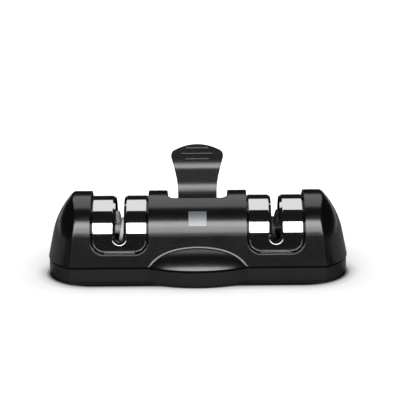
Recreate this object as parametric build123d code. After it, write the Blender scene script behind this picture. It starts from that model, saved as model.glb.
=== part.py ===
from build123d import *
import math
import os

# Two stage pull through knife sharpener on a suction base, in millimetres.
# X runs along its length, -Y is its front and +Z is up; the origin is on the table, under its middle.

# Casing outline
arch_radius = 24.9
arch_centre_z = 24.15
wall_lean = 10
seam_z = 10.55
end_length = 26.4
end_radius = 34.4
end_lean = 11.5
end_knee_z = 25.5
end_top_run = 15.8
end_top_rise = 0.2
shell_wall = 2.8
crease_round = 3
window_round = 0.5
seam_round = 0.6
overrun = 2
find_margin = 0.4

# Bulge over the suction cup, front and rear
bulge_margin = 4.5
bulge_radius = 52.9
bulge_top_z = 21.9
bulge_lean = 25
bulge_root_y = 20
bulge_crease = 2

# Base shell
base_bottom_z = 2.5
base_floor = 2
base_inset = 0.5
base_wall = 4.1
plinth_z = 0.4
plinth_step = 1.7
seam_gap = 0.6
tongue_height = 2.2
tongue_clearance = 0.5
tongue_free_x = 31
well_wall = 2
well_shoulder_drop = 0.6
well_ceiling_z = 16.5
well_slope = 4.7
well_mouth_radius = 9.5

# Chrome guide covers in their windows
window_width = 33.2
window_bottom_z = 18.3
window_corner = 8
cover_clearance = 0.1
cover_thickness = 1.9
cover_flange = 3.2
cover_drop = 3.6
cover_roll = 1.2
groove_depth = 1.3
groove_gap = 0.3
groove_undercut = 0.5
slot_width = 5
slot_lip = 1.6
slot_lip_depth = 1
slot_lip_round = 0.4
slot_bottom_z = 24.5

# Grinding wheels and what carries them
wheel_radius = 7
wheel_thickness = 2.1
wheel_round = 0.35
wheel_lean = 10
wheel_y = 8.3
wheel_z = 28.2
axle_radius = 1.45
axle_clearance = 0.05
axle_end_gap = 0.3
spacer_wall = 1.1
spacer_play = 0.15
spacer_end_gap = 0.55
carrier_gap = 7.2
carrier_well_gap = 4.9
carrier_wall = 3
carrier_depth = 33
carrier_top_z = 31.6
carrier_floor_z = 20.4
carrier_floor = 2
carrier_round = 1.2

# Lever bay in the top of the casing
bay_width = 34.8
bay_front_y = 7.8
bay_radius = 19.2
bay_bottom_z = 25.5
bay_corner = 4
bay_round = 1
bay_wall = 2.2
bay_slot_width = 24.4
bay_slot_front = 5.2
bay_slot_rear = 14

# Lever with its cams
pin_z = 37.3
pin_radius = 2
pin_clearance = 0.06
pin_length = 22
lever_thickness = 3
lever_bend_z = 50.6
lever_head_z = 62.6
lever_set_back = 9.1
lever_top_z = 75
lever_bend_radius = 12
neck_width = 22.7
flare_z = 49
flare_slope_share = 0.24
head_width = 30.4
head_wide_z = 67.6
head_shoulder_z = 71.8
head_shoulder_width = 25.4
ridge_depth = 0.7
ridge_radius = 0.75
ridge_pitch = 3.3
ridge_first_z = 74
ridge_widths = (12.9, 17.9, 14)
cam_low = 4.5
cam_lift = 3.7
cam_front = 4.4
cam_clearance = 0.3
cam_neck_rise = 4.5
stem_slot_width = 6.6
stem_slot_radius = 5

# Pull stem
stem_width = 6
stem_depth = 8
stem_blade_z = 26
stem_radius = 3
stem_button_radius = 6
stem_button_z = 5.2
stem_button_height = 1.8
guide_clearance = 0.3

# Cam bridge with its wear plate
bridge_width = 26
bridge_depth = 19
bridge_plate = 2
bridge_foot = 6
bridge_foot_depth = 12
wear_plate = 1
wear_width = 23.4
wear_depth = 17

# Suction cup
cup_radius = 30.5
cup_clearance = 1.2
cup_rim = 1.2
cup_hollow_z = 3
cup_hollow_radius = 7
cup_hub_radius = 8
cup_hub_z = 9
cup_shoulder_z = 6.4
cup_skin_reach = 1.2

# Badge on the front of the casing
badge_width = 10.4
badge_height = 8.9
badge_angle = 34.5
badge_thickness = 0.9
badge_depth = 1
badge_clearance = 0.1

# Feet and screws
foot_radius = 5
foot_step = 6
foot_y = 12
foot_recess = 0.6
casing_screw_step = 5
casing_screw_y = 17
casing_screw_length = 16.4
casing_post_gap = 0.1
carrier_screw_y = 9
carrier_screw_length = 12
bridge_screw_x = 16
bridge_screw_length = 5.5
screw_radius = 1.4
screw_head_radius = 2.7
screw_head_height = 1.6
screw_clearance = 0.02
screw_sink = 2.2
boss_radius = 3.4
head_clearance = 0.2

# Places along the casing, from the cup outwards
carrier_width = carrier_gap + 2 * carrier_wall
well_radius = cup_radius + cup_clearance
bulge_reach = well_radius + bulge_margin
slot_x = well_radius + well_wall + carrier_well_gap + carrier_width / 2
window_inner_x = slot_x - window_width / 2
window_outer_x = slot_x + window_width / 2
casing_screw_x = window_outer_x + cover_flange + casing_screw_step
foot_x = casing_screw_x + foot_step
end_reach = window_outer_x + end_length
end_axis_x = end_reach - end_radius

# Heights that several pieces share
arch_top_z = arch_centre_z + arch_radius
floor_z = plinth_z + base_floor
boss_top_z = seam_z + overrun
well_shoulder_z = seam_z - well_shoulder_drop
cover_inset = shell_wall + cover_clearance
wear_top_z = pin_z - cam_low - cam_clearance
bridge_top_z = wear_top_z - wear_plate
SIDES = (-1, 1)


def arch_face(inset, bottom):
    """Cross-section of the casing: leaning walls under a round arch, offset inwards by inset."""
    radius = arch_radius - inset
    lean = math.radians(wall_lean)
    touch_y = radius * math.cos(lean)
    touch_z = arch_centre_z + radius * math.sin(lean)
    foot_y = touch_y + (touch_z - bottom) * math.tan(lean)
    walls = Polyline((-touch_y, touch_z), (-foot_y, bottom), (foot_y, bottom), (touch_y, touch_z))
    arch = ThreePointArc((touch_y, touch_z), (0, arch_centre_z + radius), (-touch_y, touch_z))
    return Plane.YZ * make_face([*walls.edges(), arch])


def end_round(inset, bottom):
    """Round end of the casing, turned about an upright axis."""
    lean = math.radians(end_lean)
    knee_r = end_radius - (end_knee_z - seam_z) * math.tan(lean) - inset
    foot_r = knee_r + (end_knee_z - bottom) * math.tan(lean)
    top = (end_radius - end_top_run - inset, arch_top_z + end_top_rise - inset)
    side = Line((foot_r, bottom), (knee_r, end_knee_z))
    crown = TangentArc((knee_r, end_knee_z), top, tangent=(-math.sin(lean), math.cos(lean)))
    inside = Polyline(top, (0, top[1]), (0, bottom), (foot_r, bottom))
    return revolve(Plane.XZ * make_face([side, crown, *inside.edges()]), Axis.Z)


def casing_form(inset, bottom):
    """Body of the casing without its bulges, offset inwards by inset."""
    prism = extrude(arch_face(inset, bottom), amount=end_reach, both=True)
    height = arch_top_z + end_top_rise - bottom
    limits = Pos(0, 0, bottom + height / 2) * Box(2 * end_axis_x, 4 * arch_radius, height)
    for side in SIDES:
        limits += Pos(side * end_axis_x, 0, 0) * end_round(inset, bottom)
    return prism & limits


def bulge_form(inset, bottom):
    """Both lens-shaped bulges that widen the casing over the cup."""
    lean = math.radians(bulge_lean)
    face_y = arch_radius * math.cos(math.radians(wall_lean))
    face_z = arch_centre_z + arch_radius * math.sin(math.radians(wall_lean))
    top_y = face_y + (face_z - bulge_top_z) * math.tan(math.radians(wall_lean))
    low = (bulge_radius - inset, seam_z)
    top = (bulge_radius - bulge_reach + top_y - inset, bulge_top_z - inset)
    dome = TangentArc(low, top, tangent=(-math.sin(lean), math.cos(lean)))
    foot = seam_z - 2 * overrun
    inside = Polyline(top, (0, top[1]), (0, foot), (low[0], foot), low)
    turned = revolve(Plane.XZ * make_face([dome, *inside.edges()]), Axis.Z)
    span = bulge_reach - bulge_root_y
    height = arch_top_z - bottom
    keep = Pos(0, -bulge_root_y - span / 2, bottom + height / 2) * Box(2 * bulge_radius, span, height)
    front = Pos(0, bulge_radius - bulge_reach, 0) * turned & keep
    return front + mirror(front, Plane.XZ)


def plan_face(inset):
    """Outline of the casing at the seam, offset inwards by inset."""
    lean = math.tan(math.radians(wall_lean))
    touch_y = arch_radius * math.cos(math.radians(wall_lean))
    touch_z = arch_centre_z + arch_radius * math.sin(math.radians(wall_lean))
    half_depth = touch_y + (touch_z - seam_z) * lean - inset
    outline = Rectangle(2 * end_axis_x, 2 * half_depth)
    for side in SIDES:
        outline += Pos(side * end_axis_x, 0) * Circle(end_radius - inset)
    outline &= Rectangle(2 * end_reach, 2 * half_depth)
    span = bulge_reach - bulge_root_y
    for side in SIDES:
        disc = Pos(0, side * (bulge_reach - bulge_radius)) * Circle(bulge_radius - inset)
        outline += disc & Pos(0, side * (bulge_root_y + span / 2)) * Rectangle(2 * end_reach, span)
    return outline


def side_post(x, y, radius, bottom, top):
    """Upright round post between two heights."""
    return Pos(x, y, (bottom + top) / 2) * Cylinder(radius, top - bottom)


def cross_bar(radius, length, y, z):
    """Round bar along X."""
    return Pos(0, y, z) * Rot(0, 90, 0) * Cylinder(radius, length)


def screw_places():
    """Where the casing screws stand."""
    return [(sx * casing_screw_x, sy * casing_screw_y) for sx in SIDES for sy in SIDES]


def foot_places():
    """Where the rubber feet stand."""
    return [(sx * foot_x, sy * foot_y) for sx in SIDES for sy in SIDES]


def carrier_screw_places():
    """Where the screws of both wheel carriers stand."""
    return [(sx * slot_x, sy * carrier_screw_y) for sx in SIDES for sy in SIDES]


def window_prism(side, growth):
    """Window over the top of the casing, open from front to rear, grown by the same amount all round."""
    width = window_width + 2 * growth
    height = 2 * (arch_top_z - window_bottom_z + growth)
    place = Pos(side * slot_x, arch_top_z)
    outline = place * RectangleRounded(width, height, window_corner + growth)
    return extrude(Plane.XZ * outline, amount=2 * arch_radius, both=True)


def bay_cut():
    """Recess that the folded lever lies in, with the opening that the lever passes through."""
    depth = bulge_reach + bay_front_y
    plan = Pos(0, depth / 2 - bay_front_y, bay_bottom_z) * RectangleRounded(bay_width, depth, bay_corner)
    block = extrude(plan, amount=arch_top_z + overrun - bay_bottom_z)
    recess = block - cross_bar(bay_radius, bay_width + overrun, 0, arch_centre_z)
    slot_depth = bay_slot_front + bay_slot_rear
    slot_centre_y = (bay_slot_rear - bay_slot_front) / 2
    slot = Pos(0, slot_centre_y, arch_top_z) * Box(bay_slot_width, slot_depth, 2 * arch_radius)
    return recess + slot


def bay_liner():
    """Wall under the lever bay, in one piece with the casing."""
    depth = bulge_reach + bay_front_y + bay_wall
    bottom = bay_bottom_z - bay_wall
    height = arch_top_z - bottom
    block = Box(bay_width + 2 * bay_wall, depth, height)
    block = Pos(0, depth / 2 - bay_front_y - bay_wall, bottom + height / 2) * block
    hollow = cross_bar(bay_radius - bay_wall, bay_width + 2 * bay_wall + overrun, 0, arch_centre_z)
    return (block - hollow) & casing_form(0, seam_z)


def badge_block(clearance, depth):
    """Square block that stands square to the arch at the badge, from under its face outwards."""
    block = Box(badge_width + 2 * clearance, badge_height + 2 * clearance, 2 * depth)
    angle = math.radians(badge_angle)
    centre_y = -arch_radius * math.cos(angle)
    centre_z = arch_centre_z + arch_radius * math.sin(angle)
    return Pos(0, centre_y, centre_z) * Rot(90 - badge_angle, 0, 0) * block


def badge_cut():
    """Shallow pocket for the badge, its floor curved like the arch."""
    floor = cross_bar(arch_radius - badge_depth, 2 * badge_width, 0, arch_centre_z)
    return badge_block(badge_clearance, 2 * badge_depth) - floor


def climbs(edge):
    """True for an edge that rises by more than the overrun."""
    return edge.bounding_box().size.Z > overrun


def rounded_creases(form):
    """Casing body with the creases between its arch and its round ends softened."""
    creases = [
        edge for edge in form.edges()
        if abs(edge.center().X) > end_axis_x and abs(edge.center().Y) > arch_radius / 2
        and edge.bounding_box().min.Z < seam_z + find_margin and climbs(edge)]
    return fillet(creases, crease_round)


def rounded_bulges(form):
    """Casing body with its bulges and with the inner corner between them and the walls softened."""
    creases = [
        edge for edge in form.edges()
        if abs(edge.center().X) < end_axis_x and climbs(edge)
        and seam_z + find_margin < edge.center().Z < bulge_top_z + find_margin and on_outside(edge)]
    return fillet(creases, bulge_crease)


def rounded_windows(shell):
    """Top shell with the outer edges of its windows rounded."""
    rims = [
        edge for edge in shell.edges()
        if window_inner_x - find_margin < abs(edge.center().X) < window_outer_x + find_margin
        and edge.center().Z > window_bottom_z - find_margin and on_outside(edge)]
    return fillet(rims, window_round)


def rounded_bay(shell):
    """Top shell with the rim of its lever bay rounded."""
    rim = [
        edge for edge in shell.edges()
        if abs(edge.center().X) < bay_width / 2 + find_margin
        and edge.center().Y > -bay_front_y - find_margin and on_outside(edge)]
    return fillet(rim, bay_round)


def on_outside(edge, face_radius=arch_radius):
    """True for an edge on the arch or the walls of the casing, or of a form inside it."""
    lean = math.radians(wall_lean)
    for share in (0.25, 0.5, 0.75):
        place = edge.position_at(share)
        depth = abs(place.Y)
        rise = place.Z - arch_centre_z
        reach = math.hypot(depth, rise) if rise > depth * math.tan(lean) else (
            depth * math.cos(lean) + rise * math.sin(lean))
        if abs(reach - face_radius) > find_margin / 2:
            return False
    return True


def upper_shell():
    """Black top shell with both windows, the lever bay and the screw posts."""
    outside = rounded_bulges(rounded_creases(casing_form(0, seam_z)) + bulge_form(0, seam_z))
    outside = fillet(outside.faces().sort_by(Axis.Z)[0].outer_wire().edges(), seam_round)
    inside = casing_form(shell_wall, seam_z - overrun) + bulge_form(shell_wall, seam_z - overrun)
    posts = [side_post(x, y, boss_radius, boss_top_z, arch_top_z) for x, y in screw_places()]
    shell = outside - inside + bay_liner()
    for post in posts:
        shell += post & casing_form(0, seam_z)
    for side in SIDES:
        shell -= window_prism(side, 0)
    shell = rounded_windows(shell)
    shell = rounded_bay(shell - bay_cut())
    shell -= badge_cut()
    for x, y in screw_places():
        shell -= side_post(x, y, screw_radius + screw_clearance, seam_z, boss_top_z + casing_screw_length)
    return shell


def base_shell():
    """Bottom shell: set-in plinth, low wall, locating tongue and the well that the cup sits in."""
    wall_top = seam_z - seam_gap
    shell = extrude(Pos(0, 0, base_bottom_z) * plan_face(base_inset), amount=wall_top - base_bottom_z)
    shell += extrude(Pos(0, 0, plinth_z) * plan_face(base_inset + plinth_step), amount=base_bottom_z)
    room = plan_face(base_inset + base_wall)
    shell -= extrude(Pos(0, 0, floor_z) * room, amount=arch_top_z)
    tongue = plan_face(shell_wall + tongue_clearance) - room
    tongue = extrude(Pos(0, 0, wall_top) * tongue, amount=tongue_height)
    tongue -= Pos(0, 0, wall_top) * Box(2 * tongue_free_x, 3 * bulge_reach, 3 * tongue_height)
    shell += tongue
    shell += well_wall_ring()
    shell -= side_post(0, 0, well_radius, 0, well_shoulder_z - well_wall)
    for x, y in screw_places() + carrier_screw_places():
        top = boss_top_z - casing_post_gap if abs(x) > window_outer_x else floor_z + screw_sink
        shell += side_post(x, y, boss_radius, plinth_z, top)
        shell -= side_post(x, y, screw_radius + screw_clearance, 0, arch_top_z)
        shell -= side_post(x, y, screw_head_radius + head_clearance, 0, plinth_z + screw_sink)
    for x, y in foot_places():
        shell -= side_post(x, y, foot_radius + screw_clearance, 0, plinth_z + foot_recess)
    hole = screw_radius + screw_clearance
    for side in SIDES:
        shell -= side_post(side * bridge_screw_x, 0, hole, well_shoulder_z, arch_top_z)
    return shell


def well_wall_ring():
    """Wall and raised ceiling of the cup well, turned about the middle of the base."""
    wall_r = well_radius + well_wall
    ceiling_r = well_radius - well_slope
    under_z = well_ceiling_z - well_wall
    foot = plinth_z + base_floor / 2
    profile = Polyline(
        (well_radius, foot), (wall_r, foot), (wall_r, well_shoulder_z),
        (ceiling_r, well_ceiling_z), (well_mouth_radius, well_ceiling_z),
        (well_mouth_radius, under_z), (ceiling_r - well_wall / 2, under_z),
        (well_radius, well_shoulder_z - well_wall / 2), (well_radius, foot))
    return revolve(Plane.XZ * make_face(profile), Axis.Z)


def slot_cut(side):
    """Knife slot: straight sides over a round bottom, cut from front to rear."""
    radius = slot_width / 2
    height = arch_top_z - slot_bottom_z
    outline = Pos(side * slot_x, slot_bottom_z + radius) * Circle(radius)
    outline += Pos(side * slot_x, slot_bottom_z + radius + height / 2) * Rectangle(slot_width, height)
    return extrude(Plane.XZ * outline, amount=2 * arch_radius, both=True)


def on_cover_face(edge):
    """True for an edge that lies in the outer face of a guide cover."""
    return on_outside(edge, arch_radius - cover_inset)


def near_slot(edge, side, reach):
    """True for an edge close to the slot of one cover, and not under it."""
    return abs(edge.center().X - side * slot_x) < reach and edge.center().Z > slot_bottom_z - reach


def guide_cover(side):
    """Chromed cover that wraps over the wheels, with a rolled edge, a hidden flange and a lipped slot."""
    bottom = window_bottom_z - cover_drop
    width = window_width + 2 * cover_flange
    span = Pos(side * slot_x, 0, arch_centre_z) * Box(width, 4 * arch_radius, 4 * arch_radius)
    skin = casing_form(cover_inset, bottom) & span
    groove = window_prism(side, groove_undercut) - window_prism(side, -groove_gap)
    skin -= groove - casing_form(cover_inset + groove_depth, bottom - overrun)
    skin -= casing_form(cover_inset + cover_thickness, bottom - overrun)
    window = window_prism(side, 0).solid()
    rolled = [
        edge for edge in skin.edges()
        if on_cover_face(edge) and window.is_inside(edge.position_at(0.5))]
    skin = fillet(rolled, cover_roll) - slot_cut(side)
    slot_half = slot_width / 2 + find_margin / 2
    lips = [edge for edge in skin.edges() if on_cover_face(edge) and near_slot(edge, side, slot_half)]
    skin = chamfer(lips, slot_lip, slot_lip_depth)
    lip_half = slot_half + slot_lip
    rims = [edge for edge in skin.edges() if on_cover_face(edge) and near_slot(edge, side, lip_half)]
    return fillet(rims, slot_lip_round)


def wheel_plane(side, end):
    """Plane of one grinding wheel: it leans so that the front and rear wheels cross like an X."""
    lean = math.radians(wheel_lean)
    towards = side * end
    centre = (side * slot_x + towards * wheel_radius * math.sin(lean), end * wheel_y, wheel_z)
    return Plane(origin=centre, x_dir=(0, 1, 0), z_dir=(math.cos(lean), 0, -towards * math.sin(lean)))


def grinding_wheel(side, end):
    """Grinding disc with a bore that runs on its axle."""
    bore = axle_radius + axle_clearance
    disc = Cylinder(wheel_radius, wheel_thickness) - Cylinder(bore, 2 * wheel_thickness)
    rims = disc.edges().filter_by(GeomType.CIRCLE).group_by(SortBy.RADIUS)[-1]
    return wheel_plane(side, end) * fillet(rims, wheel_round)


def axle_shift(side, end):
    """How far along its axle a wheel stands from the middle of its carrier."""
    return side * end * wheel_radius * math.tan(math.radians(wheel_lean))


def wheel_axles(side):
    """Two steel axle pins of one slot, fixed in the carrier walls."""
    length = (carrier_width - 2 * axle_end_gap) / math.cos(math.radians(wheel_lean))
    pins = []
    for end in SIDES:
        place = wheel_plane(side, end) * Pos(0, 0, -axle_shift(side, end))
        pins.append(place * Cylinder(axle_radius, length - 2 * axle_end_gap))
    return Compound(children=pins)


def wheel_spacers(side):
    """Plastic sleeves on the axles that hold each wheel at its place between the carrier walls."""
    sleeves = []
    half_gap = carrier_gap / 2 / math.cos(math.radians(wheel_lean))
    inner = wheel_thickness / 2 + spacer_play
    ring = Circle(axle_radius + axle_clearance + spacer_wall) - Circle(axle_radius + axle_clearance)
    for end in SIDES:
        for way in SIDES:
            length = half_gap - spacer_end_gap - inner - way * axle_shift(side, end)
            place = wheel_plane(side, end) * Pos(0, 0, way * (inner + length / 2))
            sleeves.append(place * extrude(ring, amount=length / 2, both=True))
    return Compound(children=sleeves)


def wheel_carrier(side):
    """Holder that stands on the base floor and carries the wheels between two tall walls."""
    height = carrier_top_z - floor_z
    carrier = Box(carrier_width, carrier_depth, height)
    top_edges = carrier.edges().group_by(Axis.Z)[-1].filter_by(Axis.X)
    carrier = Pos(0, 0, floor_z + height / 2) * fillet(top_edges, 2 * carrier_round)
    channel = carrier_top_z + overrun - carrier_floor_z
    carrier -= Pos(0, 0, carrier_floor_z + channel / 2) * Box(carrier_gap, 2 * carrier_depth, channel)
    under = carrier_floor_z - carrier_floor - floor_z
    room = Box(carrier_gap, carrier_depth - 2 * carrier_wall, under)
    carrier -= Pos(0, 0, floor_z + under / 2) * room
    for end in SIDES:
        y = end * carrier_screw_y
        carrier += side_post(0, y, boss_radius, floor_z + screw_sink, carrier_floor_z)
        carrier -= side_post(0, y, screw_radius + screw_clearance, 0, floor_z + carrier_screw_length)
    carrier = Pos(side * slot_x, 0, 0) * carrier
    for end in SIDES:
        carrier -= wheel_plane(side, end) * Cylinder(axle_radius + screw_clearance, 2 * carrier_width)
    return carrier


def badge_plate():
    """Plain light square badge, curved like the arch and seated in its pocket."""
    ring = cross_bar(arch_radius - badge_depth + badge_thickness, 2 * badge_width, 0, arch_centre_z)
    ring -= cross_bar(arch_radius - badge_depth, 3 * badge_width, 0, arch_centre_z)
    return ring & badge_block(0, 2 * badge_depth)


def cam_outline():
    """Side of a cam: its height above the wear plate grows evenly while the lever folds."""
    rate = cam_lift / (math.pi / 2)
    first = -math.pi / 2
    steps = 6
    points = []
    for step in range(steps + 1):
        angle = first + step * (math.pi / 2) / steps
        reach = cam_low + rate * (angle - first)
        y = reach * math.cos(angle) - rate * math.sin(angle)
        z = reach * math.sin(angle) + rate * math.cos(angle)
        points.append((y, z))
    lobe = Spline(*points, tangents=[(1, 0), (0, 1)])
    half = lever_thickness / 2
    corner = cam_front / 2
    flat = Line((-corner, -cam_low), points[0])
    middle = (-cam_front * math.cos(math.pi / 4), -cam_low * math.sin(math.pi / 4))
    nose = ThreePointArc((-cam_front, 0), middle, (-corner, -cam_low))
    back = Line(points[-1], (half, cam_neck_rise))
    rest = Polyline((half, cam_neck_rise), (-half, cam_neck_rise), (-cam_front, 0))
    face = make_face([lobe, back, *rest.edges(), nose, flat])
    return Pos(0, pin_z) * face


def lever_front_face():
    """Front outline of the lever: straight neck that widens into a rounded head."""
    neck = neck_width / 2
    head = head_width / 2
    shoulder = head_shoulder_width / 2
    low = pin_z - cam_low - cam_clearance
    right = Line((neck, low), (neck, flare_z))
    spread = (flare_slope_share, 1)
    flare = Spline((neck, flare_z), (head, head_wide_z), tangents=[(0, 1), spread])
    corner = TangentArc((head, head_wide_z), (shoulder, head_shoulder_z), tangent=spread)
    top = ThreePointArc((shoulder, head_shoulder_z), (0, lever_top_z), (-shoulder, head_shoulder_z))
    half = [right, flare, corner]
    edges = half + [mirror(edge, Plane.YZ) for edge in half] + [top, Line((-neck, low), (neck, low))]
    return Plane.XZ * make_face(edges)


def lever():
    """Fold down lever: cams at the root, a set-back ridged head and room for the stem to swing in."""
    path = FilletPolyline(
        (0, pin_z), (0, lever_bend_z), (lever_set_back, lever_head_z), (lever_set_back, lever_top_z),
        radius=lever_bend_radius)
    blade = extrude(Plane.YZ * trace(path, lever_thickness), amount=head_width, both=True)
    blade += extrude(Plane.YZ * cam_outline(), amount=neck_width / 2, both=True)
    blade &= extrude(lever_front_face(), amount=2 * bulge_reach, both=True)
    front_y = lever_set_back - lever_thickness / 2
    for row, width in enumerate(ridge_widths):
        z = ridge_first_z - row * ridge_pitch - ridge_radius
        y = front_y + ridge_radius - ridge_depth
        blade += cross_bar(ridge_radius, width, y, z)
    swing = cam_low + cam_lift + overrun
    room = Box(stem_slot_width, swing + stem_slot_radius, swing + stem_slot_radius)
    middle = (swing - stem_slot_radius) / 2
    blade -= Pos(0, middle, pin_z - middle) * room
    blade -= cross_bar(pin_radius + pin_clearance, 2 * neck_width, 0, pin_z)
    return blade


def pull_stem():
    """Stem that the lever lifts: blade with the pin hole, round shank and the button in the cup."""
    height = pin_z - stem_blade_z
    blade = Pos(0, 0, stem_blade_z + height / 2) * Box(stem_width, stem_depth, height)
    blade += cross_bar(stem_depth / 2, stem_width, 0, pin_z)
    blade += side_post(0, 0, stem_radius, stem_button_z, stem_blade_z + overrun)
    blade += side_post(0, 0, stem_button_radius, stem_button_z, stem_button_z + stem_button_height)
    return blade - cross_bar(pin_radius + screw_clearance, 2 * stem_width, 0, pin_z)


def lever_pin():
    """Steel pin through both cams and the stem."""
    return cross_bar(pin_radius, pin_length, 0, pin_z)


def stem_hole(bottom, top):
    """Opening that the blade of the stem slides through."""
    hole = Box(stem_width + 2 * guide_clearance, stem_depth + 2 * guide_clearance, top - bottom)
    return Pos(0, 0, (bottom + top) / 2) * hole


def cam_bridge():
    """Steel bridge on the cup well that takes the push of the cams."""
    legs = bridge_top_z - well_ceiling_z
    bridge = Pos(0, 0, well_ceiling_z + legs / 2) * Box(bridge_width, bridge_depth, legs)
    inner = Box(bridge_width - 2 * bridge_plate, 2 * bridge_depth, legs)
    bridge -= Pos(0, 0, well_ceiling_z + legs / 2 - bridge_plate) * inner
    hole = screw_radius + screw_clearance
    hole_top = well_ceiling_z + 2 * bridge_plate
    for side in SIDES:
        x = side * (bridge_width + bridge_foot) / 2
        foot = Box(bridge_foot, bridge_foot_depth, bridge_plate)
        bridge += Pos(x, 0, well_ceiling_z + bridge_plate / 2) * foot
        bridge -= side_post(side * bridge_screw_x, 0, hole, well_ceiling_z, hole_top)
    return bridge - stem_hole(well_ceiling_z, bridge_top_z + overrun)


def wear_plate_solid():
    """Hard plate on top of the bridge that the cams slide on."""
    plate = Pos(0, 0, bridge_top_z + wear_plate / 2) * Box(wear_width, wear_depth, wear_plate)
    return plate - stem_hole(bridge_top_z - overrun, wear_top_z + overrun)


def suction_cup():
    """Soft cup with a thin rim, a hollow underside and a hub that grips the button of the stem."""
    socket_r = stem_button_radius + guide_clearance
    socket_low = stem_button_z - guide_clearance
    socket_top = stem_button_z + stem_button_height + guide_clearance
    neck_r = stem_radius + guide_clearance
    under = ThreePointArc(
        (cup_radius - cup_rim, 0), ((cup_radius + cup_hollow_radius) / 2, cup_hollow_z * 2 / 3),
        (cup_hollow_radius, cup_hollow_z))
    middle = ((cup_radius + cup_hub_radius) / 2, (cup_shoulder_z + cup_rim) / 2 + cup_skin_reach / 2)
    over = ThreePointArc((cup_radius, cup_rim), middle, (cup_hub_radius, cup_shoulder_z))
    rim = Polyline((cup_radius, cup_rim), (cup_radius, 0), (cup_radius - cup_rim, 0))
    hub = Polyline(
        (cup_hub_radius, cup_shoulder_z), (cup_hub_radius, cup_hub_z), (neck_r, cup_hub_z),
        (neck_r, socket_top), (socket_r, socket_top), (socket_r, socket_low), (0, socket_low),
        (0, cup_hollow_z), (cup_hollow_radius, cup_hollow_z))
    return revolve(Plane.XZ * make_face([under, over, *rim.edges(), *hub.edges()]), Axis.Z)


def screws(places, head_z, length, way):
    """Identical screws with the head at head_z and the shank pointing up or down."""
    group = []
    for x, y in places:
        head = Pos(0, 0, screw_head_height / 2) * Cylinder(screw_head_radius, screw_head_height)
        shank = Cylinder(screw_radius, length - screw_head_height)
        shank = Pos(0, 0, (screw_head_height + length) / 2) * shank
        screw = head + shank - Box(screw_radius / 2, 2 * screw_radius, screw_head_height)
        turn = Rot(180, 0, 0) if way < 0 else Rot(0, 0, 0)
        group.append(Pos(x, y, head_z) * turn * screw)
    return Compound(children=group)


def rubber_feet():
    """Four round feet sunk in the base floor."""
    height = plinth_z + foot_recess
    return Compound(children=[side_post(x, y, foot_radius, 0, height) for x, y in foot_places()])


def build_parts():
    """Every sub-part by its node name."""
    head_z = plinth_z + screw_sink - screw_head_height
    bridge_places = [(side * bridge_screw_x, 0) for side in SIDES]
    bridge_head_z = well_ceiling_z + bridge_plate + screw_head_height
    parts = {
        "upper_shell": upper_shell(),
        "base_shell": base_shell(),
        "badge_plate": badge_plate(),
        "lever": lever(),
        "lever_pin": lever_pin(),
        "pull_stem": pull_stem(),
        "cam_bridge": cam_bridge(),
        "wear_plate": wear_plate_solid(),
        "suction_cup": suction_cup(),
        "rubber_feet": rubber_feet(),
        "casing_screws": screws(screw_places(), head_z, casing_screw_length, 1),
        "carrier_screws": screws(carrier_screw_places(), head_z, carrier_screw_length, 1),
        "bridge_screws": screws(bridge_places, bridge_head_z, bridge_screw_length, -1),
    }
    for side, place, stage in ((-1, "left", "fine"), (1, "right", "coarse")):
        parts[place + "_guide_cover"] = guide_cover(side)
        parts[place + "_wheel_carrier"] = wheel_carrier(side)
        parts[place + "_wheel_axles"] = wheel_axles(side)
        parts[place + "_wheel_spacers"] = wheel_spacers(side)
        parts[stage + "_wheel_front"] = grinding_wheel(side, -1)
        parts[stage + "_wheel_rear"] = grinding_wheel(side, 1)
    return parts


os.makedirs("parts", exist_ok=True)
for node, solid in build_parts().items():
    export_step(solid, "parts/" + node + ".step")
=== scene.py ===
import math

import bmesh
import bpy
from mathutils import Matrix, Vector

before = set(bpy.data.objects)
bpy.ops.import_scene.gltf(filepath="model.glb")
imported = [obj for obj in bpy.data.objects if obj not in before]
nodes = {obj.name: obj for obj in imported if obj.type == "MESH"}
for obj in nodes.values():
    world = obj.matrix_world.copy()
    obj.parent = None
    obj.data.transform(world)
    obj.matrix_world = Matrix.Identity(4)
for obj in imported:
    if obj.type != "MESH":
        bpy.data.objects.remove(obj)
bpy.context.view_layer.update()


# Base shell
# Low band and floor of the casing, injection moulded in black ABS and screwed to the top from below.
# Its band keeps the fine spark texture of the mould, a little duller than the lacquered top.

MM = 0.001


def linear(hex_colour):
    """Linear colour of an sRGB hex value such as #1a1a1c."""
    channels = [int(hex_colour[at:at + 2], 16) / 255 for at in (1, 3, 5)]
    curve = [c / 12.92 if c <= 0.04045 else ((c + 0.055) / 1.055) ** 2.4 for c in channels]
    return (*curve, 1)


def add_node(tree, kind, settings, links):
    """Adds a shader node; settings are attributes or socket values, links feed its inputs."""
    made = tree.nodes.new(kind)
    for name, value in settings.items():
        if isinstance(name, str) and hasattr(made, name):
            setattr(made, name, value)
        else:
            made.inputs[name].default_value = value
    for name, source in links.items():
        tree.links.new(source, made.inputs[name])
    return made


def new_material(name):
    """Empty node material with its output, ready for a surface shader."""
    made = bpy.data.materials.new(name)
    made.use_nodes = True
    made.node_tree.nodes.clear()
    output = made.node_tree.nodes.new("ShaderNodeOutputMaterial")
    return made, made.node_tree, output


def dress(names, material):
    """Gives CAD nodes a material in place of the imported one."""
    for name in names:
        data = nodes[name].data
        data.materials.clear()
        data.materials.append(material)


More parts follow.
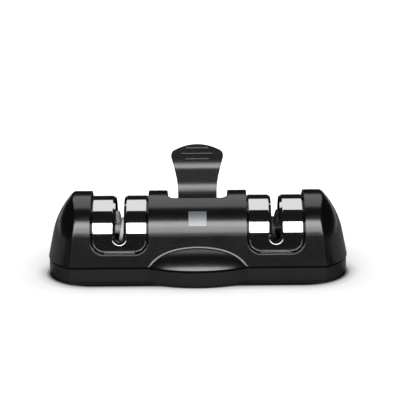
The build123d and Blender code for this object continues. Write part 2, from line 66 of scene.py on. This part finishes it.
def moulded_abs(name, colour, roughness, grain_mm, grain_depth_mm, gloss):
    """Moulded plastic: fine even grain from the mould, and a sheen that clouds slightly."""
    cloud_mm, sheen_spread, plastic_ior = 14, 0.03, 1.54
    made, tree, output = new_material(name)
    place = add_node(tree, "ShaderNodeTexCoord", {}, {})
    grain = add_node(
        tree, "ShaderNodeTexNoise", {"Scale": 1 / (grain_mm * MM), "Detail": 3.0},
        {"Vector": place.outputs["Object"]})
    cloud = add_node(
        tree, "ShaderNodeTexNoise", {"Scale": 1 / (cloud_mm * MM), "Detail": 2.0},
        {"Vector": place.outputs["Object"]})
    sheen = add_node(
        tree, "ShaderNodeMapRange", {"To Min": roughness - sheen_spread, "To Max": roughness + sheen_spread},
        {"Value": cloud.outputs["Fac"]})
    relief = add_node(
        tree, "ShaderNodeBump", {"Strength": 1.0, "Distance": grain_depth_mm * MM},
        {"Height": grain.outputs["Fac"]})
    shader = add_node(
        tree, "ShaderNodeBsdfPrincipled",
        {"Base Color": linear(colour), "IOR": plastic_ior, "Specular IOR Level": gloss},
        {"Roughness": sheen.outputs["Result"], "Normal": relief.outputs["Normal"]})
    tree.links.new(shader.outputs["BSDF"], output.inputs["Surface"])
    return made


# Moulded ABS with a dull spark finish: dark, with broad soft highlights.
band_abs = moulded_abs(
    "moulded black ABS, spark finish", "#272728", roughness=0.3, grain_mm=0.5, grain_depth_mm=0.004,
    gloss=0.5)
dress(["base_shell"], band_abs)


# Rubber feet
# Four soft feet of moulded black rubber, pressed into round recesses of the base floor.
# They are dull and carry a faint bloom.

def soft_rubber(name, colour, roughness):
    """Moulded rubber: dull and dark, with a faint uneven bloom."""
    bloom_mm, bloom_depth_mm, bloom_spread = 6, 0.02, 0.06
    rubber_ior, rubber_gloss = 1.52, 0.4
    made, tree, output = new_material(name)
    place = add_node(tree, "ShaderNodeTexCoord", {}, {})
    bloom = add_node(
        tree, "ShaderNodeTexNoise", {"Scale": 1 / (bloom_mm * MM), "Detail": 4.0},
        {"Vector": place.outputs["Object"]})
    dull = add_node(
        tree, "ShaderNodeMapRange", {"To Min": roughness - bloom_spread, "To Max": roughness + bloom_spread},
        {"Value": bloom.outputs["Fac"]})
    relief = add_node(
        tree, "ShaderNodeBump", {"Distance": bloom_depth_mm * MM}, {"Height": bloom.outputs["Fac"]})
    shader = add_node(
        tree, "ShaderNodeBsdfPrincipled",
        {"Base Color": linear(colour), "IOR": rubber_ior, "Specular IOR Level": rubber_gloss},
        {"Roughness": dull.outputs["Result"], "Normal": relief.outputs["Normal"]})
    tree.links.new(shader.outputs["BSDF"], output.inputs["Surface"])
    return made


# Black moulded rubber, matt to the eye.
foot_rubber = soft_rubber("moulded black rubber", "#161617", roughness=0.62)
dress(["rubber_feet"], foot_rubber)


# Suction cup
# Soft cup of moulded black silicone in the well of the base.
# It grips the button of the stem, and its rim lies on the table with the feet.

# Black silicone: smoother than the feet, with a soft shine.
cup_silicone = soft_rubber("moulded black silicone", "#121213", roughness=0.42)
dress(["suction_cup"], cup_silicone)


# Wheel carriers and their spacers
# Moulded nylon holders that are screwed to the base floor, one under each cover.
# Nylon sleeves on the axles keep each wheel in its place.

# Dark nylon: dull, nearly without highlights, as it lies in the shade of the covers.
holder_nylon = moulded_abs(
    "moulded dark nylon", "#151516", roughness=0.5, grain_mm=0.7, grain_depth_mm=0.006, gloss=0.4)
dress(["left_wheel_carrier", "right_wheel_carrier", "right_wheel_spacers"], holder_nylon)

# Natural nylon: off-white, for the sleeves between the white wheels.
sleeve_nylon = moulded_abs(
    "natural white nylon", "#dededb", roughness=0.5, grain_mm=0.7, grain_depth_mm=0.006, gloss=0.4)
dress(["left_wheel_spacers"], sleeve_nylon)


# Axles, stem, pin, cam bridge, wear plate and screws
# Small parts of zinc plated steel: turned pins and screws, a pressed bridge and the plate on it.
# The axles carry the wheels, the pin the lever, and the screws hold the bridge, the carriers and the casing.

def plated_metal(name, colour, roughness):
    """Bright metal with fine turning or rolling marks that cloud its shine."""
    marks_mm, smoother, rougher = 0.8, 0.06, 0.08
    made, tree, output = new_material(name)
    place = add_node(tree, "ShaderNodeTexCoord", {}, {})
    marks = add_node(
        tree, "ShaderNodeTexNoise", {"Scale": 1 / (marks_mm * MM), "Detail": 2.0},
        {"Vector": place.outputs["Object"]})
    wear = add_node(
        tree, "ShaderNodeMapRange", {"To Min": roughness - smoother, "To Max": roughness + rougher},
        {"Value": marks.outputs["Fac"]})
    shader = add_node(
        tree, "ShaderNodeBsdfPrincipled", {"Base Color": linear(colour), "Metallic": 1.0},
        {"Roughness": wear.outputs["Result"]})
    tree.links.new(shader.outputs["BSDF"], output.inputs["Surface"])
    return made


# Zinc plated steel: bright and slightly clouded.
zinc_steel = plated_metal("zinc plated steel", "#b9babd", roughness=0.32)
dress(
    ["left_wheel_axles", "right_wheel_axles", "pull_stem", "lever_pin", "cam_bridge", "wear_plate",
     "casing_screws", "carrier_screws", "bridge_screws"], zinc_steel)


# Fine wheels
# Two thin discs of sintered and ground ceramic on the axles of the left slot.
# They lean apart so that the edge of a blade runs in the V between them.

def wheel_grit(name, dark, light, roughness, grit_mm, depth_mm, metallic):
    """Abrasive disc: close grit that speckles its colour and roughens its face."""
    made, tree, output = new_material(name)
    place = add_node(tree, "ShaderNodeTexCoord", {}, {})
    grit = add_node(
        tree, "ShaderNodeTexVoronoi", {"Scale": 1 / (grit_mm * MM)}, {"Vector": place.outputs["Object"]})
    tint = add_node(
        tree, "ShaderNodeMix", {"data_type": "RGBA", 6: linear(dark), 7: linear(light)},
        {0: grit.outputs["Distance"]})
    relief = add_node(
        tree, "ShaderNodeBump", {"Distance": depth_mm * MM}, {"Height": grit.outputs["Distance"]})
    shader = add_node(
        tree, "ShaderNodeBsdfPrincipled", {"Roughness": roughness, "Metallic": metallic},
        {"Base Color": tint.outputs[2], "Normal": relief.outputs["Normal"]})
    tree.links.new(shader.outputs["BSDF"], output.inputs["Surface"])
    return made


# Sintered alumina: white and matt; its grit of a few microns is drawn as 0.25 mm to show.
fine_ceramic = wheel_grit(
    "sintered white ceramic", "#f9f9f7", "#ffffff", roughness=0.5, grit_mm=0.25, depth_mm=0.01, metallic=0.0)
dress(["fine_wheel_front", "fine_wheel_rear"], fine_ceramic)


# Coarse wheels
# Two steel discs on the axles of the right slot, coated with diamond grit in nickel.
# They cross and lean as the fine ones do.

# Diamond grit in nickel: dark grey, half metallic; its grit of about 0.1 mm is drawn as 0.3 mm to show.
coarse_diamond = wheel_grit(
    "diamond grit in nickel plate", "#3a3b3d", "#55565a", roughness=0.5, grit_mm=0.3, depth_mm=0.03,
    metallic=0.4)
dress(["coarse_wheel_front", "coarse_wheel_rear"], coarse_diamond)


# Guide covers
# Two covers of moulded and chromed ABS that wrap over the wheels, held in the windows by a hidden flange.
# Each has a slot for the blade with a narrow lip, and a groove along its edges that is painted near black as
# shade.

# Cross section of a cover: an arch over this centre, and walls that lean inwards from it.
cover_centre_z = 24.15 * MM
cover_lean = math.radians(10)
cover_face = 22.0 * MM
groove_lip = 0.9 * MM
groove_shade_fade = 0.15 * MM

# The chrome covers everything within this reach of the slot's middle plane, then fades to the mask of painted
# groove shade.
slot_x = 45.2 * MM
slot_reach = 8.0 * MM
slot_fade = 1 * MM


def chrome_plate(name, chrome, plastic, roughness):
    """Decorative chrome over plastic: a near mirror, with painted shade, near black, in the groove along the
    cover's edge.
    """
    wave_mm, haze_spread = 18, 0.03
    made, tree, output = new_material(name)
    place = add_node(tree, "ShaderNodeTexCoord", {}, {})
    wave = add_node(
        tree, "ShaderNodeTexNoise", {"Scale": 1 / (wave_mm * MM), "Detail": 1.0},
        {"Vector": place.outputs["Object"]})
    haze = add_node(
        tree, "ShaderNodeMapRange", {"To Min": roughness, "To Max": roughness + haze_spread},
        {"Value": wave.outputs["Fac"]})

    # Distance from the arch's centre, or from its middle plane along the wall below it.
    split = add_node(tree, "ShaderNodeSeparateXYZ", {}, {"Vector": place.outputs["Object"]})
    out_y = add_node(tree, "ShaderNodeMath", {"operation": "ABSOLUTE"}, {0: split.outputs["Y"]})
    up_z = add_node(
        tree, "ShaderNodeMath", {"operation": "SUBTRACT", 1: cover_centre_z}, {0: split.outputs["Z"]})
    section = add_node(
        tree, "ShaderNodeCombineXYZ", {}, {"X": out_y.outputs["Value"], "Y": up_z.outputs["Value"]})
    across_wall = (math.cos(cover_lean), math.sin(cover_lean), 0)
    along_wall = (-math.sin(cover_lean), math.cos(cover_lean), 0)
    outward = add_node(
        tree, "ShaderNodeVectorMath", {"operation": "DOT_PRODUCT", 1: across_wall},
        {0: section.outputs["Vector"]})
    upward = add_node(
        tree, "ShaderNodeVectorMath", {"operation": "DOT_PRODUCT", 1: along_wall},
        {0: section.outputs["Vector"]})
    over = add_node(tree, "ShaderNodeMath", {"operation": "MAXIMUM", 1: 0.0}, {0: upward.outputs["Value"]})
    bend = add_node(
        tree, "ShaderNodeCombineXYZ", {}, {"X": outward.outputs["Value"], "Y": over.outputs["Value"]})
    radius = add_node(tree, "ShaderNodeVectorMath", {"operation": "LENGTH"}, {0: bend.outputs["Vector"]})
    # The mask called plated paints shade: below this radius, in the groove along the cover's edge, the chrome
    # gives way to near black.
    groove_shade_from = cover_face - groove_lip
    plated = add_node(
        tree, "ShaderNodeMapRange", {"From Min": groove_shade_from - groove_shade_fade, "From Max": groove_shade_from},
        {"Value": radius.outputs["Value"]})

    # Chrome all over near the slot.
    side_x = add_node(tree, "ShaderNodeMath", {"operation": "ABSOLUTE"}, {0: split.outputs["X"]})
    off_slot = add_node(
        tree, "ShaderNodeMath", {"operation": "SUBTRACT", 1: slot_x}, {0: side_x.outputs["Value"]})
    slot_wide = add_node(tree, "ShaderNodeMath", {"operation": "ABSOLUTE"}, {0: off_slot.outputs["Value"]})
    by_slot = add_node(
        tree, "ShaderNodeMapRange",
        {"From Min": slot_reach, "From Max": slot_reach + slot_fade, "To Min": 1.0, "To Max": 0.0},
        {"Value": slot_wide.outputs["Value"]})
    unshaded_chrome = add_node(
        tree, "ShaderNodeMath", {"operation": "MAXIMUM"},
        {0: plated.outputs["Result"], 1: by_slot.outputs["Result"]})
    # The groove's painted shade takes the near-black colour given as plastic and loses its metal.
    tint = add_node(
        tree, "ShaderNodeMix", {"data_type": "RGBA", 6: linear(plastic), 7: linear(chrome)},
        {0: unshaded_chrome.outputs["Value"]})
    shader = add_node(
        tree, "ShaderNodeBsdfPrincipled", {},
        {"Base Color": tint.outputs[2], "Metallic": unshaded_chrome.outputs["Value"],
         "Roughness": haze.outputs["Result"]})
    tree.links.new(shader.outputs["BSDF"], output.inputs["Surface"])
    return made


# Bright chrome: mirrors the studio in hard bands; the groove along the edge is painted near black as shade.
cover_chrome = chrome_plate("decorative chrome on ABS", chrome="#dcdcdd", plastic="#0b0b0c", roughness=0.05)
dress(["left_guide_cover", "right_guide_cover"], cover_chrome)


# Upper shell
# Top of the casing, moulded in black ABS and lacquered to a satin sheen.
# It carries both windows, the lever bay and the bulges over the suction cup.

# Satin lacquer on ABS: long soft highlights along the arch.
casing_abs = moulded_abs(
    "satin lacquered black ABS", "#080809", roughness=0.2, grain_mm=0.6, grain_depth_mm=0.002, gloss=1.0)
dress(["upper_shell"], casing_abs)


# Badge
# Small square plate of stamped aluminium, left plain.
# It is glued into a shallow pocket on the front.

# Satin aluminium: light grey, even.
badge_aluminium = plated_metal("satin aluminium", "#919395", roughness=0.42)
dress(["badge_plate"], badge_aluminium)


# Lever
# Thumb lever of moulded black ABS with three ridges across its head.
# It stands up from the bay on the stem's pin, and folds back to pull the cup tight.

# The same ABS as the casing, unlacquered and a little rougher.
lever_abs = moulded_abs(
    "moulded black ABS, satin", "#222223", roughness=0.26, grain_mm=0.5, grain_depth_mm=0.001, gloss=0.9)
dress(["lever"], lever_abs)


# Studio
# Pale floor inside a black tent, with a softbox in front and one overhead that the chrome and arch mirror.
# Dark cards on the floor are seen by gloss alone, and keep the walls of the casing dark.

def light_or_card(name, colour, strength):
    """Even light from a diffuser, or a card that is black or grey at a low strength."""
    made, tree, output = new_material(name)
    shader = add_node(tree, "ShaderNodeEmission", {"Color": linear(colour), "Strength": strength}, {})
    tree.links.new(shader.outputs["Emission"], output.inputs["Surface"])
    return made


def stage_panel(name, quads, material, unseen_by):
    """Panel of the studio made of quads; the kinds of ray in unseen_by pass through it."""
    mesh = bmesh.new()
    for quad in quads:
        mesh.faces.new([mesh.verts.new(corner) for corner in quad])
    data = bpy.data.meshes.new(name)
    mesh.to_mesh(data)
    made = bpy.data.objects.new(name, data)
    bpy.context.scene.collection.objects.link(made)
    data.materials.append(material)
    for ray in unseen_by:
        setattr(made, "visible_" + ray, False)


def level_quad(x_from, x_to, y_from, y_to, z):
    """Corners of a level rectangle."""
    return [(x_from, y_from, z), (x_to, y_from, z), (x_to, y_to, z), (x_from, y_to, z)]


def stage_strip(name, from_deg, to_deg, radius, half_length, material):
    """Strip of a long tube round the object, between two elevations; 0 is ahead of the front, 90 overhead."""
    steps = 24
    angles = [math.radians(from_deg + (to_deg - from_deg) * step / steps) for step in range(steps + 1)]
    arc = [(-radius * math.cos(angle), radius * math.sin(angle)) for angle in angles]
    quads = [
        [(-half_length, *low), (half_length, *low), (half_length, *high), (-half_length, *high)]
        for low, high in zip(arc, arc[1:])]
    stage_panel(name, quads, material, ["camera"])


front_diffuser = light_or_card("front diffuser", "#ffffff", 4.8)
front_falloff = light_or_card("front diffuser, lower half", "#ffffff", 3.2)
top_diffuser = light_or_card("overhead diffuser", "#fafafa", 1.05)
black_card = light_or_card("black card", "#ffffff", 0.012)
grey_card = light_or_card("grey card", "#ffffff", 0.2)

tent_radius = 1.45
tent_half_length = 3.2
light_radius = 1.42
light_half_length = 1.15
stage_strip("black_tent", 0.5, 177, tent_radius, tent_half_length, black_card)
stage_strip("front_softbox_low", 14.4, 30, light_radius, light_half_length, front_falloff)
stage_strip("front_softbox_high", 30, 45.5, light_radius, light_half_length, front_diffuser)
stage_strip("overhead_softbox", 85.8, 136, light_radius, light_half_length, top_diffuser)

# Black cards close the ends of the tent, just off the floor.
end_low = 0.02
end_outline = [
    (-tent_radius, end_low), (tent_radius, end_low), (tent_radius, tent_radius), (-tent_radius, tent_radius)]
for name, end_x in (("left_card", -tent_half_length), ("right_card", tent_half_length)):
    corners = [(end_x, y, z) for y, z in end_outline]
    stage_panel(name, [corners], black_card, ["camera"])

# Floor cards: black in front of and behind the casing, grey behind it to the left and right.
card_reach = 1.41
card_z = 0.2 * MM
casing_half_length = 88 * MM
floor_cards = (
    ("front_floor_card", -tent_half_length, tent_half_length, -card_reach, 0, black_card),
    ("rear_floor_card", -casing_half_length, casing_half_length, 0, card_reach, black_card),
    ("left_floor_card", -tent_half_length, -casing_half_length, 0, card_reach, grey_card),
    ("right_floor_card", casing_half_length, tent_half_length, 0, card_reach, grey_card))
for name, x_from, x_to, y_from, y_to, card in floor_cards:
    corners = level_quad(x_from, x_to, y_from, y_to, card_z)
    stage_panel(name, [corners], card, ["camera", "diffuse", "shadow", "transmission"])

# White sweep paper, brought up to white where the camera and gloss see it.
# The lift fades in with the distance from the casing, so its shadow stays; a painted shadow darkens the paper
# to near black where the casing touches the floor.
middle_half_length = 60 * MM
shadow_paint_from, shadow_paint_to = 27.5 * MM, 30.5 * MM
near_from, near_to, near_strength = 27 * MM, 36 * MM, 0.38
far_to, far_strength = 140 * MM, 0.62
paper, paper_tree, paper_output = new_material("white sweep paper")
paper_rays = add_node(paper_tree, "ShaderNodeLightPath", {}, {})
paper_seen = add_node(
    paper_tree, "ShaderNodeMath", {"operation": "MAXIMUM"},
    {0: paper_rays.outputs["Is Camera Ray"], 1: paper_rays.outputs["Is Glossy Ray"]})
paper_place = add_node(paper_tree, "ShaderNodeTexCoord", {}, {})
paper_split = add_node(paper_tree, "ShaderNodeSeparateXYZ", {}, {"Vector": paper_place.outputs["Object"]})
along = add_node(paper_tree, "ShaderNodeMath", {"operation": "ABSOLUTE"}, {0: paper_split.outputs["X"]})
past = add_node(
    paper_tree, "ShaderNodeMath", {"operation": "SUBTRACT", 1: middle_half_length},
    {0: along.outputs["Value"]})
beyond = add_node(paper_tree, "ShaderNodeMath", {"operation": "MAXIMUM", 1: 0.0}, {0: past.outputs["Value"]})
spread = add_node(
    paper_tree, "ShaderNodeCombineXYZ", {}, {"X": beyond.outputs["Value"], "Y": paper_split.outputs["Y"]})
away = add_node(paper_tree, "ShaderNodeVectorMath", {"operation": "LENGTH"}, {0: spread.outputs["Vector"]})
near_lift = add_node(
    paper_tree, "ShaderNodeMapRange", {"From Min": near_from, "From Max": near_to, "To Max": near_strength},
    {"Value": away.outputs["Value"]})
far_lift = add_node(
    paper_tree, "ShaderNodeMapRange", {"From Min": near_to, "From Max": far_to, "To Max": far_strength},
    {"Value": away.outputs["Value"]})
both_lifts = add_node(
    paper_tree, "ShaderNodeMath", {"operation": "ADD"},
    {0: near_lift.outputs["Result"], 1: far_lift.outputs["Result"]})
lift = add_node(
    paper_tree, "ShaderNodeMath", {"operation": "MULTIPLY"},
    {0: paper_seen.outputs["Value"], 1: both_lifts.outputs["Value"]})
# Painted shadow: within this band round the casing's footprint, the paper turns from near black to its own
# pale colour.
painted_contact_shadow = add_node(
    paper_tree, "ShaderNodeMapRange", {"From Min": shadow_paint_from, "From Max": shadow_paint_to},
    {"Value": away.outputs["Value"]})
paper_with_painted_shadow = add_node(
    paper_tree, "ShaderNodeMix", {"data_type": "RGBA", 6: linear("#1a1a1a"), 7: linear("#e6e6e6")},
    {0: painted_contact_shadow.outputs["Result"]})
paper_face = add_node(paper_tree, "ShaderNodeBsdfDiffuse", {}, {"Color": paper_with_painted_shadow.outputs[2]})
paper_glow = add_node(
    paper_tree, "ShaderNodeEmission", {"Color": linear("#ffffff")}, {"Strength": lift.outputs["Value"]})
paper_both = add_node(
    paper_tree, "ShaderNodeAddShader", {}, {0: paper_face.outputs["BSDF"], 1: paper_glow.outputs["Emission"]})
paper_tree.links.new(paper_both.outputs["Shader"], paper_output.inputs["Surface"])

floor_reach = 6.0
stage_panel("floor", [level_quad(-floor_reach, floor_reach, -floor_reach, floor_reach, 0)], paper, [])

# Air: a soft fill on the object, and white where the camera and gloss see it.
air_fill, air_white = 0.4, 1.0
world = bpy.data.worlds.new("studio air")
world.use_nodes = True
air = world.node_tree
air.nodes.clear()
air_rays = add_node(air, "ShaderNodeLightPath", {}, {})
air_seen = add_node(
    air, "ShaderNodeMath", {"operation": "MAXIMUM"},
    {0: air_rays.outputs["Is Camera Ray"], 1: air_rays.outputs["Is Glossy Ray"]})
air_level = add_node(
    air, "ShaderNodeMapRange", {"To Min": air_fill, "To Max": air_white},
    {"Value": air_seen.outputs["Value"]})
air_back = add_node(
    air, "ShaderNodeBackground", {"Color": linear("#ffffff")}, {"Strength": air_level.outputs["Result"]})
add_node(air, "ShaderNodeOutputWorld", {}, {"Surface": air_back.outputs["Background"]})
bpy.context.scene.world = world


# Camera
# A long lens in front of the casing and 15 degrees above it, rolled by less than half a degree.
# From there the seam and the ends curve a little, and the floor fills the frame.

camera_elevation = math.radians(15)
camera_distance = 900 * MM
camera_roll = math.radians(-0.45)
look_at = Vector((1.5 * MM, 0, 43.7 * MM))
camera_data = bpy.data.cameras.new("camera")
camera_data.sensor_width = 36
camera_data.lens = 138
camera = bpy.data.objects.new("camera", camera_data)
bpy.context.scene.collection.objects.link(camera)
towards_camera = Vector((0, -math.cos(camera_elevation), math.sin(camera_elevation)))
level_turn = (-towards_camera).to_track_quat("-Z", "Y").to_matrix().to_4x4()
turn = Matrix.Rotation(camera_roll, 4, towards_camera) @ level_turn
camera.matrix_world = Matrix.Translation(look_at + towards_camera * camera_distance) @ turn
bpy.context.scene.camera = camera
bpy.context.scene.view_settings.view_transform = "Standard"
